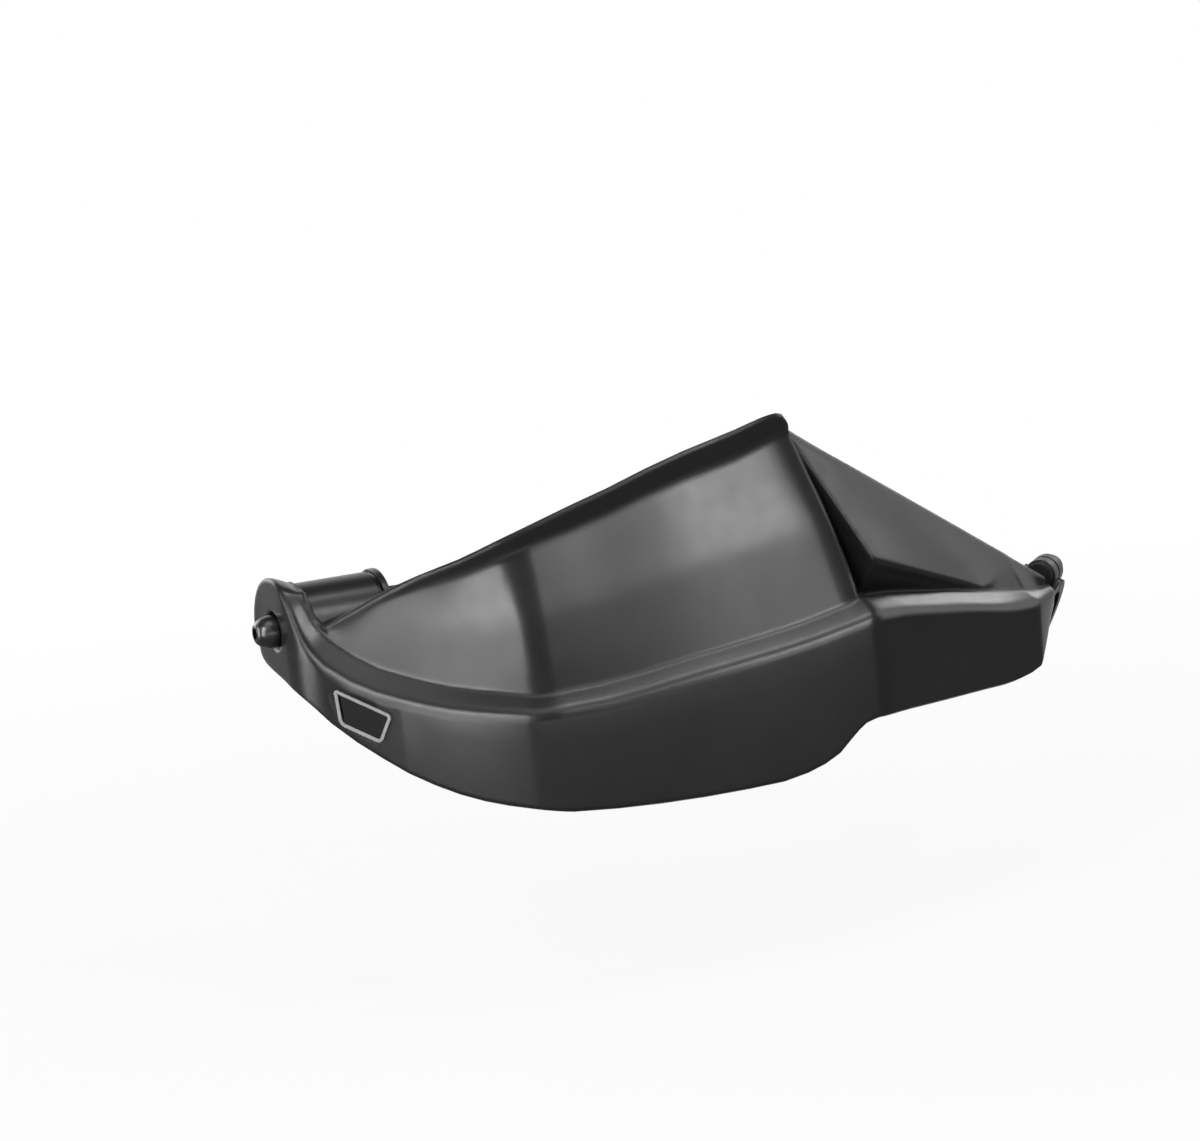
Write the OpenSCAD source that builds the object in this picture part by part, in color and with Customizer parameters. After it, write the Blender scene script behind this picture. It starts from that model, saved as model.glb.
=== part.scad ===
// Hand guard for the rider's right hand, with its bar end and inner clamp mountings.
// The origin is the middle of the handlebar's end face: X runs inwards along the grip,
// Y to the rear and Z up.

/* [Shell plan] */
// Distance of the ear's outer face from the handlebar's end
ear_reach = 37; // [32:1:50]
// Radius of the ear around the bar end bolt
ear_r = 17.6; // [16:0.2:22]
// Straight run of the ear in front of the bolt
ear_run = 8; // [6:1:12]
// Length of the side between the ear and the front bend
side_len = 64; // [50:1:80]
// Length of the front between the bend and the inner corner
front_len = 104; // [85:1:130]
// Length of the arm behind the inner corner
arm_len = 89; // [82:1:106]
// Turn from the ear to the side, in degrees
ear_turn = 47; // [42:1:52]
// Turn at the front bend, in degrees
bend_turn = 25; // [20:1:30]
// Turn at the inner corner, in degrees
corner_turn = 32; // [28:1:36]

/* [Shell heights] */
// Lowest point of the band below the bar's axis
band_drop = 64; // [58:1:70]
// Lowest point of the ledge line below the bar's axis
ledge_drop = 30; // [27:1:33]
// Highest point of the sail's fold above the bar's axis
sail_rise = 43; // [38:1:50]
// Distance of the sail's fold behind the band, at its widest
sail_setback = 31; // [28:1:36]
// Width of the ledge between the band and the sail
ledge_w = 7; // [6:0.5:8]
// Height of the lip along the sail's fold
lip_h = 8; // [5:0.5:10]
// How far the lip leans forward
lip_flare = 3; // [1:0.5:4]
// Wall of the moulding
wall = 3; // [2.4:0.2:3.6]
// Thickness of the ear
ear_wall = 8; // [7:0.5:9]

/* [Bar end] */
// Diameter of the bar end bolt
bolt_d = 6; // [5:0.5:8]
// Head diameter of the bar end bolt
bolt_head_d = 10.5; // [9:0.5:12]
// Diameter of the recess in the ear
recess_d = 12.6; // [12.2:0.2:16]
// Depth of the recess in the ear
recess_depth = 2.6; // [2:0.2:3]
// Diameter of the bar end weight
weight_d = 28; // [24:1:32]
// Diameter of the weight's collar
collar_d = 29.6; // [26:0.2:34]
// Diameter of the expander sleeve, which fits the handlebar's inside
sleeve_d = 16.4; // [14:0.2:18]
// Length of the expander sleeve
sleeve_len = 22; // [16:1:30]

/* [Inner clamp] */
// Diameter of the handlebar
handlebar_d = 22.2; // [22:0.1:25.4]
// Width of the clamp along the handlebar
clamp_w = 14; // [12:1:16]
// Wall of the clamp around the handlebar
clamp_wall = 4.4; // [4:0.2:6]
// Heading of the handlebar where the clamp sits, in degrees from X
bar_heading = -41; // [-48:1:-36]
// Drop of the handlebar where the clamp sits, in degrees
bar_fall = 27; // [22:1:32]
// Diameter of the clamp bolts
clamp_bolt_d = 5; // [4:1:6]
// Thickness of the bracket plate
plate_t = 3; // [2.5:0.5:4]
// Width of the bracket plate
plate_w = 15; // [14:1:18]
// Distance between the two bracket bolts
bracket_pitch = 26; // [22:1:30]
// Height of the bosses behind the arm
boss_h = 6; // [5:0.5:8]

/* [Badge] */
// Length of the badge plate
badge_len = 21; // [18:1:26]
// How much shorter the badge's lower edge is, at its outer end
badge_slant = 6; // [0:0.5:8]
// Height of the badge plate
badge_h = 10; // [8:0.5:12]
// Thickness of the badge plate
badge_t = 1.2; // [1:0.1:1.5]

/* [Hidden] */
$fn = 64;

// Plan of the band's outer face: each leg is a length and the turn along it
ear_bend_len = 18;
bend_len = 13;
corner_len = 8;
tip_bend_len = 3;
tip_len = 16.5;
side_turn = 10;
front_turn = 5;
tip_turn = 15;
ear_heading = -90;
legs = [
    [ear_r + ear_run, 0],
    [ear_bend_len, ear_turn],
    [side_len, side_turn],
    [bend_len, bend_turn],
    [front_len, front_turn],
    [corner_len, corner_turn],
    [arm_len, 0],
    [tip_bend_len, tip_turn],
    [tip_len, 0]
];
leg_count = len(legs);

// A place in plan is [x, y, heading]; one leg further on is an arc or a straight run
function run(place, leg, part) =
    let(length = leg[0] * part, turn = leg[1] * part)
    abs(turn) < 0.01
        ? [place.x + length * cos(place.z), place.y + length * sin(place.z), place.z]
        : let(radius = length * 180 / (PI * turn))
          [place.x + radius * (sin(place.z + turn) - sin(place.z)),
           place.y - radius * (cos(place.z + turn) - cos(place.z)),
           place.z + turn];
leg_starts = [
    for (i = 0, place = [-ear_reach, ear_r, ear_heading]; i <= leg_count;
         place = i < leg_count ? run(place, legs[i], 1) : place, i = i + 1) place
];
leg_lengths = [
    for (i = 0, total = 0; i <= leg_count;
         total = i < leg_count ? total + legs[i][0] : total, i = i + 1) total
];
// A station counts legs: 2.5 is halfway along the side
function leg_of(station) = min(floor(station), leg_count - 1);
function plan(station) = run(leg_starts[leg_of(station)], legs[leg_of(station)], station - leg_of(station));
function travelled(station) =
    leg_lengths[leg_of(station)] + legs[leg_of(station)][0] * (station - leg_of(station));
function along(from, to, station) =
    min(max((travelled(station) - travelled(from)) / (travelled(to) - travelled(from)), 0), 1);
function inward(station) =
    let(heading = plan(station).z) [-sin(heading), cos(heading), 0];

// Smooth curve through knots of [station, value], even in travelled length
function knot_slope(xs, ys, i) =
    i == 0 ? (ys[1] - ys[0]) / (xs[1] - xs[0])
    : i == len(xs) - 1 ? (ys[i] - ys[i - 1]) / (xs[i] - xs[i - 1])
    : let(before = (ys[i] - ys[i - 1]) / (xs[i] - xs[i - 1]),
          after = (ys[i + 1] - ys[i]) / (xs[i + 1] - xs[i]))
      before * after <= 0 ? 0 : 2 * before * after / (before + after);
function find_span(knots, station, i = 0) =
    i >= len(knots) - 2 || station < knots[i + 1][0] ? i : find_span(knots, station, i + 1);
function smooth(knots, station, column = 1) =
    let(s = min(max(station, knots[0][0]), knots[len(knots) - 1][0]),
        i = find_span(knots, s),
        xs = [for (knot = knots) travelled(knot[0])],
        ys = [for (knot = knots) knot[column]],
        span = xs[i + 1] - xs[i],
        f = (travelled(s) - xs[i]) / span,
        rise = ys[i + 1] - ys[i])
    ys[i] + f * f * (3 - 2 * f) * rise
        + span * f * (1 - f) * ((1 - f) * knot_slope(xs, ys, i) - f * knot_slope(xs, ys, i + 1));

// Heights as shares of the driving drops and rises
ear_top = [for (station = [0.7, 0.85, 1])
    [station, sqrt(ear_r * ear_r - plan(station).y * plan(station).y)]];
// The ear narrows from its outer face to its inner rim, which is little wider than the weight
ear_taper = 3;
ear_back = (ear_r - ear_taper) / ear_r;
function rim_y(y, share = 1) = y > 0 ? y * (1 - (1 - ear_back) * share) : y;
// Ledge line: the band's upper edge
ledge_knots = concat(ear_top, [for (knot = [
        [1.22, 0.38], [1.44, 0.15], [1.67, -0.14], [1.89, -0.29], [2.03, -0.39], [2.18, -0.59],
        [2.38, -0.74], [2.63, -0.88], [2.88, -0.96], [3.4, -1], [4.1, -0.99], [4.45, -0.85],
        [4.77, -0.71], [4.97, -0.58], [5.6, -0.53], [6.47, -0.72], [7, -0.95], [8, -0.95], [9, -0.93]
    ]) [knot[0], knot[1] * ledge_drop]]);
// Rise of the crease above the ledge line, and the ledge's width as a share of its full width
crease_knots = [
    [0, 0, 0.6], [1, 0, 0.6], [1.3, 2, 0.62], [1.6, 5.5, 0.78], [1.89, 7.6, 0.93], [2.1, 7, 1],
    [2.5, 6.2, 1], [2.9, 5.7, 1], [3.4, 5, 1], [4.1, 5.5, 1], [4.97, 6, 1.1], [5.3, 6.2, 1.25],
    [6, 6, 1.1], [6.82, 5.4, 0.95], [7, 4.4, 0.8], [8, 3.6, 0.65], [9, 1.6, 0.2]
];
// Bottom edge of the band
bottom_knots = [for (knot = [
        [0, -0.06], [0.07, -0.145], [0.2, -0.182], [0.41, -0.208], [0.84, -0.25],
        [1.22, -0.292], [1.63, -0.355], [2.05, -0.49],
        [2.24, -0.626], [2.43, -0.743], [2.73, -0.868], [3.12, -0.935], [4.07, -0.977], [4.4, -0.998],
        [4.65, -0.991], [4.72, -0.978], [4.85, -0.915], [4.92, -0.825], [4.97, -0.765], [5.3, -0.748],
        [6.02, -0.75], [6.35, -0.775], [6.62, -0.795], [6.8, -0.808], [6.93, -0.8], [7, -0.782],
        [8, -0.745], [8.4, -0.65], [8.75, -0.56], [9, -0.51]
    ]) [knot[0], knot[1] * band_drop]];
fold_from = [plan(5.6).x - 10, plan(5.6).y + 1.01 * sail_setback, 0.96 * sail_rise];
fold_to = [plan(9).x - 3.4, plan(9).y - 1, 6 - ledge_drop];
// The sail's fold: [station, to the inner side, to the rear, height]
fold_knots = concat(
    [for (knot = ear_top) [knot[0], ear_wall - 0.8, 0, knot[1] * ear_back]],
    [[1.28, ear_wall * 0.7, 1, 12], [1.6, ear_wall * 0.75, 2, 4]],
    [for (knot = [
        [1.87, 5.4, 0.09, 0.03], [2.02, 5.8, 0.13, 0.05], [2.25, 8, 0.25, 0.17], [2.5, 7.6, 0.38, 0.26],
        [2.75, 6.9, 0.51, 0.326], [3, 3.9, 0.64, 0.4], [3.5, 3.4, 0.68, 0.437], [4, 3.4, 0.7, 0.475],
        [4.25, 1.9, 0.78, 0.6], [4.5, 0, 0.84, 0.762], [4.75, -2, 0.91, 0.885], [4.97, -6, 0.985, 0.99],
        [5.3, -8.5, 1.01, 0.985]
    ]) [knot[0], knot[1], knot[2] * sail_setback, knot[3] * sail_rise]],
    // Behind the inner corner the fold runs straight to the arm's tip
    [for (station = [5.6, 6, 6.3, 6.6, 6.8, 7, 8, 9]) let(p = mix(fold_from, fold_to, along(5.6, 9, station)))
        [station, p.x - plan(station).x, p.y - plan(station).y, p.z]]
);
// Lip above the fold: [station, height, lean forward] as shares of the full lip
lip_knots = [
    [0, 0.02, -0.25], [1.6, 0.03, -0.2], [1.9, 0.1, -0.1], [2.25, 0.25, 0.1], [2.5, 0.35, 0.3],
    [3, 0.6, 0.7], [4.25, 0.94, 1], [4.75, 1, 1], [4.95, 0.85, 0.8], [5.15, 0.45, 0.2],
    [5.4, 0.3, -0.3], [7, 0.25, -0.3], [9, 0.2, -0.2]
];
// Wall, from the thick ear to the plain moulding
function wall_at(station) = wall + (ear_wall - wall) * (1 - ease((station - 1.3) / 0.9));
function ease(x) = let(f = min(max(x, 0), 1)) f * f * (3 - 2 * f);
// How far the sunk facets reach behind the crease
pocket_depth = 12;
pocket_way = [0.39, 0.91, -0.14];
sail_edge = 5.3;
valley_edge = 5.42;
ridge_edge = 5.6;
pocket_end = 6.76;
// The ridge of the facets, from its proud corner to where it meets the crease
ridge_start = [4.3, 9.3, 1.5];
ridge_end = [-3, 6.4, -19.5];

// Named points of one section, from the band's bottom to the lip
function circle_z(y) = sqrt(max(ear_r * ear_r - y * y, 0));
function ledge_z(station) = station < 0.7 ? circle_z(plan(station).y) : smooth(ledge_knots, station);
function on_plan(station, inset, z) =
    let(place = plan(station)) [place.x, place.y, z] + inset * inward(station);
function bottom_point(station) = on_plan(station, 0.8, smooth(bottom_knots, station));
function ledge_point(station) = on_plan(station, 0, ledge_z(station));
function crease_point(station) =
    let(inset = ledge_w * smooth(crease_knots, station, 2),
        share = inset / ear_wall * (1 - ease((station - 1) / 0.3)),
        p = on_plan(station, inset, ledge_z(station)))
    [p.x, rim_y(p.y, share), p.z * (1 - (1 - ear_back) * share) + smooth(crease_knots, station)];
function fold_point(station) =
    let(place = plan(station))
    [place.x + smooth(fold_knots, station, 1), rim_y(place.y) + smooth(fold_knots, station, 2),
     station < 0.7 ? ledge_z(station) * ear_back : smooth(fold_knots, station, 3)];
function lip_point(station) =
    fold_point(station) + [0, 0, lip_h * smooth(lip_knots, station)]
        - lip_flare * smooth(lip_knots, station, 2) * inward(station);

function mix(a, b, f) = a + (b - a) * f;
// On the sail the two middle points only bow it forward a little
function sail_bow(station) = 2.5 * ease((station - 2.1) / 1.5);
function sail_low(station) =
    mix(crease_point(station), fold_point(station), 0.22) - 0.6 * sail_bow(station) * inward(station);
function sail_mid(station) =
    mix(crease_point(station), fold_point(station), 0.5) - sail_bow(station) * inward(station);
// Behind the sail's inner edge the facets sink to a valley and rise to a ridge
function pocket_share(station) = 1 - along(ridge_edge, pocket_end, station);
function pocket_point(station) =
    crease_point(station) + pocket_way * (pocket_depth * pocket_share(station) + 0.6);
function ridge_at(station, f) =
    let(place = plan(station)) [place.x, place.y, 0] + mix(ridge_start, ridge_end, f);
ridge_lift = ridge_at(pocket_end, 1) - crease_point(pocket_end);
function ridge_point(station) =
    station <= pocket_end
        ? ridge_at(station, along(ridge_edge, pocket_end, station))
        : mix(crease_point(station) + ridge_lift, mix(crease_point(station), fold_point(station), 0.6),
              ease(along(pocket_end, 7, station)));
function valley_mid(station) = mix(pocket_point(station), fold_point(station), 0.35);
function between(from, to, station) = (station - from) / (to - from);
function low_point(station) =
    station <= sail_edge ? sail_low(station)
    : station <= valley_edge
        ? mix(sail_low(station), pocket_point(station), between(sail_edge, valley_edge, station))
    : pocket_point(station);
function mid_point(station) =
    station <= sail_edge ? sail_mid(station)
    : station <= valley_edge
        ? mix(sail_mid(station), valley_mid(station), between(sail_edge, valley_edge, station))
    : station <= ridge_edge
        ? mix(valley_mid(station), ridge_point(station), between(valley_edge, ridge_edge, station))
    : ridge_point(station);
function section_points(station) = [
    bottom_point(station), ledge_point(station), crease_point(station),
    low_point(station), mid_point(station), fold_point(station), lip_point(station)
];

// The inner side: each named point moves square to both faces that meet there
function flat(p, station) = let(place = plan(station)) [(p - [place.x, place.y, 0]) * inward(station), p.z];
function outward_of(a, b) = let(d = b - a, l = max(norm(d), 0.001)) [-d[1], d[0]] / l;
function miter(before, after) =
    let(both = before + after, m = both / max(1 + before * after, 0.35))
    norm(m) > 1.5 ? m / norm(m) * 1.5 : m;
function inner_points(points, station) =
    let(q = [for (p = points) flat(p, station)],
        count = len(q),
        t = wall_at(station),
        plain = ease((station - 1.3) / 0.9))
    [for (i = [0:count - 1])
        let(before = outward_of(q[max(i - 1, 0)], q[max(i, 1)]),
            after = outward_of(q[min(i, count - 2)], q[min(i + 1, count - 1)]),
            edge = i == count - 1 ? 0.75 : 1,
            shift = -miter(before, after) * t * edge,
            moved = points[i] + shift[0] * inward(station) + [0, 0, shift[1]],
            up = i / (count - 1),
            low = points[0].z,
            slab = on_plan(station, ear_wall, mix(low, points[count - 1].z, up)))
        mix([slab.x, rim_y(slab.y), slab.z], moved, plain)];

// Rounding of a section: three steps around each corner
corner_steps = 3;
function rounded(a, p, b, size) =
    let(la = norm(a - p), lb = norm(b - p), s = min(size, 0.42 * la, 0.42 * lb),
        from = p + (a - p) / la * s, to = p + (b - p) / lb * s)
    [for (k = [0:corner_steps]) let(f = k / corner_steps)
        (1 - f) * (1 - f) * from + 2 * f * (1 - f) * p + f * f * to];
band_steps = 4;
function strip(points, sizes) =
    let(n = len(points),
        arcs = [for (i = [1:n - 2]) rounded(points[i - 1], points[i], points[i + 1], sizes[i - 1])],
        band_top = arcs[0][0],
        sail_from = arcs[3][corner_steps],
        sail_to = arcs[4][0])
    concat(
        [for (k = [0:band_steps - 1]) mix(points[0], band_top, k / band_steps)],
        arcs[0], arcs[1], arcs[2], arcs[3],
        [for (k = [1:2]) mix(sail_from, sail_to, k / 3)],
        arcs[4], [points[n - 1]]
    );
function is_sail(station) = station <= sail_edge ? 1 : 0;
function outer_sizes(station) = [
    mix(4, 3, ease(station - 1)), 1, is_sail(station) ? 8 : 1, is_sail(station) ? 12 : 1.6, 2
];
function inner_sizes(station) = [1.2, 2, is_sail(station) ? 8 : 1.5, is_sail(station) ? 12 : 1, 1];

// One closed ring around the wall at a station
edge_round = 0.8;
function rim_round(station) = edge_round * mix(0.2, 1, ease(station - 0.8));
function ring(station) =
    let(points = section_points(station),
        out = strip(points, outer_sizes(station)),
        inn = strip(inner_points(points, station), inner_sizes(station)),
        last = len(out) - 1,
        top = mix(out[last], inn[last], 0.5) + unit(out[last] - out[last - 1]) * rim_round(station),
        low = mix(out[0], inn[0], 0.5) - [0, 0, edge_round])
    concat([low], out, [top], [for (i = [last:-1:0]) inn[i]]);
function unit(v) = v / max(norm(v), 0.001);

// Stations, closer together where the plan turns or an edge is crossed
ear_stations = [for (k = [0:7]) let(a = 4 + 86 * k / 8) (1 - cos(a)) * ear_r / (ear_r + ear_run)];
stations = concat(
    ear_stations,
    [for (k = [0:1]) ear_r / (ear_r + ear_run) + k * 0.16],
    [for (k = [0:6]) 1 + k / 7],
    [for (k = [0:7]) 2 + k / 8],
    [for (k = [0:4]) 3 + k / 5],
    [for (k = [0:4]) 4 + k * 0.14],
    [4.68, 4.76, 4.82, 4.87, 4.91, 4.94, 4.97],
    [5.08, 5.2, sail_edge, 5.36, valley_edge, 5.5, ridge_edge, 5.8],
    [for (k = [0:5]) 6 + k * 0.125],
    [6.7, pocket_end, 6.82, 6.88, 6.94, 7, 7.33, 7.67, 8, 8.2, 8.4, 8.6, 8.8, 8.93, 9]
);

module shell_body() {
    rings = [for (station = stations) ring(station)];
    size = len(rings[0]);
    count = len(rings);
    half = (size - 2) / 2;
    points = [for (r = rings) each r];
    sides = [for (i = [0:count - 2], j = [0:size - 1])
        let(a = i * size + j, b = i * size + (j + 1) % size, c = a + size, d = b + size)
        each [[a, b, d], [a, d, c]]];
    // Caps join the outer row to the inner row of the same ring
    function cap(base) = concat(
        [[base, base + 1, base + size - 1]],
        [for (j = [1:half - 1]) each [
            [base + j, base + j + 1, base + size - j - 1],
            [base + j, base + size - j - 1, base + size - j]]],
        [[base + half, base + half + 1, base + half + 2]]
    );
    start_cap = [for (f = cap(0)) [f[2], f[1], f[0]]];
    polyhedron(points = points, faces = concat(sides, start_cap, cap((count - 1) * size)), convexity = 10);
}

// Frames: along the bar's axis, on the arm's outer face, on the clamp's axis and on the badge
arm_start = plan(6);
module on_bar(x) { translate([x, 0, 0]) rotate([0, 90, 0]) children(); }
module on_arm(x, y, z) {
    translate([arm_start.x, arm_start.y, 0]) rotate([0, 0, arm_start.z])
        translate([x, y, z]) rotate([-90, 0, 0]) children();
}
arm_along = [cos(arm_start.z), sin(arm_start.z), 0];
arm_back = [-sin(arm_start.z), cos(arm_start.z), 0];
function arm_place(x, y, z) = [arm_start.x, arm_start.y, 0] + x * arm_along + y * arm_back + [0, 0, z];

// Bracket and clamp places, in the arm's frame: along the arm, behind its face and height
fit_gap = 0.1;
hole_gap = 0.3;
// Cutters reach this far past the faces they cut
over = 1;
bracket_z = -38;
lug_x = arm_len + 1;
lug_gap = 18;
bolt_inner_x = lug_x - lug_gap;
bolt_outer_x = bolt_inner_x - bracket_pitch;
boss_r = 5.5;
boss_top = wall + boss_h;
plate_back = boss_top + plate_t;
insert_r = 3.5;
insert_len = boss_h + wall - 1.6;
bracket_bolt_r = 2.5;
lug_bolt_r = 3;
lug_r = plate_w / 2;
lug_len = 9;
lug_reach = 27;
lug_step = 1;
clamp_behind = 10.4;
clamp_center = arm_place(lug_x + lug_reach, plate_back + clamp_behind, bracket_z + 0.5);
module on_clamp() {
    translate(clamp_center) rotate([0, 0, bar_heading]) rotate([0, 90 + bar_fall, 0]) children();
}
handlebar_r = handlebar_d / 2;
clamp_r = handlebar_r + clamp_wall;
clamp_gap = 1.6;
clamp_cut = 80;
bar_gap = 1;
ear_bolt_r = clamp_bolt_d / 2;
clamp_ear_x = handlebar_r + ear_bolt_r + hole_gap + 1.5;
clamp_ear_r = 5.5;
clamp_ear_y = 8;
clamp_ear_edge = 1.6;
head_h = 4;
head_edge = 0.6;
hex_share = 0.55;
small_head_r = 4.2;
small_hex_r = 2.2;
lug_head_r = 5;
lug_hex_r = 2.6;
nut_r = 5.6;
washer_t = 1;
washer_r = 5;
clamp_washer_r = 4.6;

// Badge place on the side of the band
badge_station = 2.15;
badge_z = -26.6;
badge_tilt = 27;
badge_sink = 0.8;
badge_corner = 2;
badge_edge = 0.8;
badge_field = 0.25;
module on_badge() {
    place = plan(badge_station);
    translate([place.x, place.y, badge_z]) rotate([0, 0, place.z])
        rotate([0, badge_tilt, 0]) rotate([-90, 0, 0]) children();
}
module badge_block(inset, thick) {
    corner = badge_corner - inset;
    x = badge_len / 2 - badge_corner;
    y = badge_h / 2 - badge_corner;
    linear_extrude(thick) hull() for (p = [[-x, -y], [x, -y], [x, y], [badge_slant - x, y]])
        translate(p) circle(corner);
}

// Bar end places along X
ear_inner = ear_wall - ear_reach;
recess_floor = recess_depth - ear_reach;
recess_edge = 0.5;
bolt_r = bolt_d / 2;
washer_front = recess_floor - washer_t;
// The bolt's domed head stands well out of the ear
bolt_head_h = 7.8;
dome_edge = 3;
dome_rise = 5.8;
socket_depth = 4;
// The weight's spigot centres it in the handlebar, whose inside is a little wider than the sleeve
spigot_r = sleeve_d / 2 + 0.15;
spigot_len = 1.5;
expander_washer_t = 1.5;
sleeve_start = spigot_len + expander_washer_t;
sleeve_end = sleeve_start + sleeve_len;
cone_len = 6;
cone_small_r = bolt_r + 1.6;
sleeve_lip = 1.4;
cone_big_r = sleeve_d / 2 - sleeve_lip;
nut_len = 6;
nut_end = sleeve_end + nut_len;
nut_step = 0.6;
bolt_tip = nut_end + 1.5;
weight_r = weight_d / 2;
collar_r = collar_d / 2;
collar_w = 2.2;
weight_gap = 0.6;
weight_edge = 1;
groove_w = 1.2;
groove_depth = 0.8;

// A turned head: flat below, with a rounded upper edge
module turned_head(r, h, round, rise) {
    rotate_extrude() polygon(concat(
        [[0, 0], [r, 0]],
        [for (k = [0:6]) let(a = 15 * k) [r - round + round * cos(a), h - rise + rise * sin(a)]],
        [[0, h]]
    ));
}
module washer(outer, inner, thick) {
    difference() {
        cylinder(r = outer, h = thick);
        translate([0, 0, -over]) cylinder(r = inner, h = thick + 2 * over);
    }
}
// Socket screw along +Z with its head's underside at zero
module socket_screw(r, length, head_r, high, hex) {
    difference() {
        union() {
            mirror([0, 0, 1]) turned_head(head_r, high, head_edge, head_edge);
            cylinder(r = r, h = length);
        }
        translate([0, 0, -high - over]) cylinder(r = hex, h = high * hex_share + over, $fn = 6);
    }
}

module guard_shell() {
    color([0.12, 0.12, 0.13]) difference() {
        union() {
            shell_body();
            for (x = [bolt_outer_x, bolt_inner_x])
                on_arm(x, wall - over, bracket_z) cylinder(r = boss_r, h = boss_h + over);
        }
        for (x = [bolt_outer_x, bolt_inner_x])
            on_arm(x, boss_top - insert_len, bracket_z) cylinder(r = insert_r, h = insert_len + over);
        // Bolt hole, recess with its eased edge, and room for the weight
        on_bar(-ear_reach - over) cylinder(r = bolt_r + hole_gap, h = ear_wall + 2 * over);
        on_bar(-ear_reach - over) cylinder(r = recess_d / 2, h = recess_depth + over);
        on_bar(-ear_reach - over)
            cylinder(r1 = recess_d / 2 + recess_edge + over, r2 = recess_d / 2, h = recess_edge + over);
        on_bar(ear_inner) cylinder(r = weight_r + weight_gap, h = ear_reach);
        on_bar(ear_inner) cylinder(r = collar_r + weight_gap, h = over);
        on_bar(-3 * collar_w) cylinder(r = collar_r + weight_gap, h = ear_reach);
        on_badge() translate([0, 0, -wall]) badge_block(-fit_gap, badge_sink + wall);
    }
}
module badge_plate() {
    color([0.06, 0.06, 0.065]) on_badge() difference() {
        translate([0, 0, badge_sink - badge_t]) badge_block(0, badge_t);
        translate([0, 0, badge_sink - badge_t - over]) badge_block(badge_edge, over + badge_field);
    }
}
module bar_end_bolt() {
    color([0.55, 0.56, 0.58]) on_bar(washer_front) difference() {
        union() {
            mirror([0, 0, 1]) turned_head(bolt_head_d / 2, bolt_head_h, dome_edge, dome_rise);
            cylinder(r = bolt_r, h = bolt_tip - washer_front);
        }
        translate([0, 0, -bolt_head_h - over]) cylinder(r = bolt_d / 3, h = socket_depth + over, $fn = 6);
    }
}
module bar_end_washer() {
    color([0.3, 0.3, 0.32]) on_bar(washer_front)
        washer(recess_d / 2 - hole_gap, bolt_r + hole_gap, washer_t);
}
module bar_end_weight() {
    color([0.07, 0.07, 0.075]) on_bar(0) rotate_extrude() polygon([
        [bolt_r + hole_gap, ear_inner], [weight_r - weight_edge, ear_inner],
        [weight_r, ear_inner + weight_edge],
        [weight_r, -collar_w - groove_w], [weight_r - groove_depth, -collar_w - groove_w],
        [weight_r - groove_depth, -collar_w], [collar_r, -collar_w], [collar_r, 0],
        [spigot_r, 0], [spigot_r, spigot_len], [bolt_r + hole_gap, spigot_len]
    ]);
}
module expander_washer() {
    color([0.6, 0.6, 0.62]) on_bar(spigot_len)
        washer(sleeve_d / 2 - hole_gap, bolt_r + hole_gap, expander_washer_t);
}
module expander_sleeve() {
    color([0.09, 0.09, 0.09]) on_bar(sleeve_start) difference() {
        cylinder(r = sleeve_d / 2, h = sleeve_len);
        translate([0, 0, -over]) cylinder(r = bolt_r + hole_gap, h = sleeve_len + 2 * over);
        translate([0, 0, sleeve_len - cone_len]) cylinder(r1 = cone_small_r, r2 = cone_big_r, h = cone_len);
    }
}
module expander_nut() {
    color([0.62, 0.6, 0.5]) on_bar(sleeve_end) difference() {
        union() {
            translate([0, 0, fit_gap - cone_len])
                cylinder(r1 = cone_small_r - fit_gap, r2 = cone_big_r - fit_gap, h = cone_len - fit_gap);
            cylinder(r = sleeve_d / 2 - nut_step, h = nut_len);
        }
        translate([0, 0, -cone_len - over])
            cylinder(r = bolt_r + fit_gap, h = cone_len + nut_len + 2 * over);
    }
}
module insert(x) {
    color([0.72, 0.58, 0.3]) on_arm(x, boss_top - insert_len, bracket_z)
        washer(insert_r, bracket_bolt_r + fit_gap, insert_len);
}
module inner_bracket() {
    color([0.2, 0.2, 0.21]) difference() {
        union() {
            for (x = [bolt_outer_x, lug_x]) on_arm(x, boss_top, bracket_z)
                cylinder(r = plate_w / 2, h = plate_t);
            on_arm(bolt_outer_x, boss_top, bracket_z)
                translate([0, -plate_w / 2, 0]) cube([lug_x - bolt_outer_x, plate_w, plate_t]);
        }
        for (x = [bolt_outer_x, bolt_inner_x]) on_arm(x, boss_top - over, bracket_z)
            cylinder(r = bracket_bolt_r + hole_gap, h = plate_t + 2 * over);
        on_arm(lug_x, boss_top - over, bracket_z)
            cylinder(r = lug_bolt_r + hole_gap, h = plate_t + 2 * over);
    }
}
module bracket_washer(x) {
    color([0.5, 0.5, 0.52]) on_arm(x, plate_back, bracket_z)
        washer(washer_r, bracket_bolt_r + hole_gap, washer_t);
}
module bracket_bolt(x) {
    length = plate_t + washer_t + insert_len - 1;
    color([0.25, 0.25, 0.26]) on_arm(x, plate_back + washer_t, bracket_z) mirror([0, 0, 1])
        socket_screw(bracket_bolt_r, length, small_head_r, head_h, small_hex_r);
}
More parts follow.
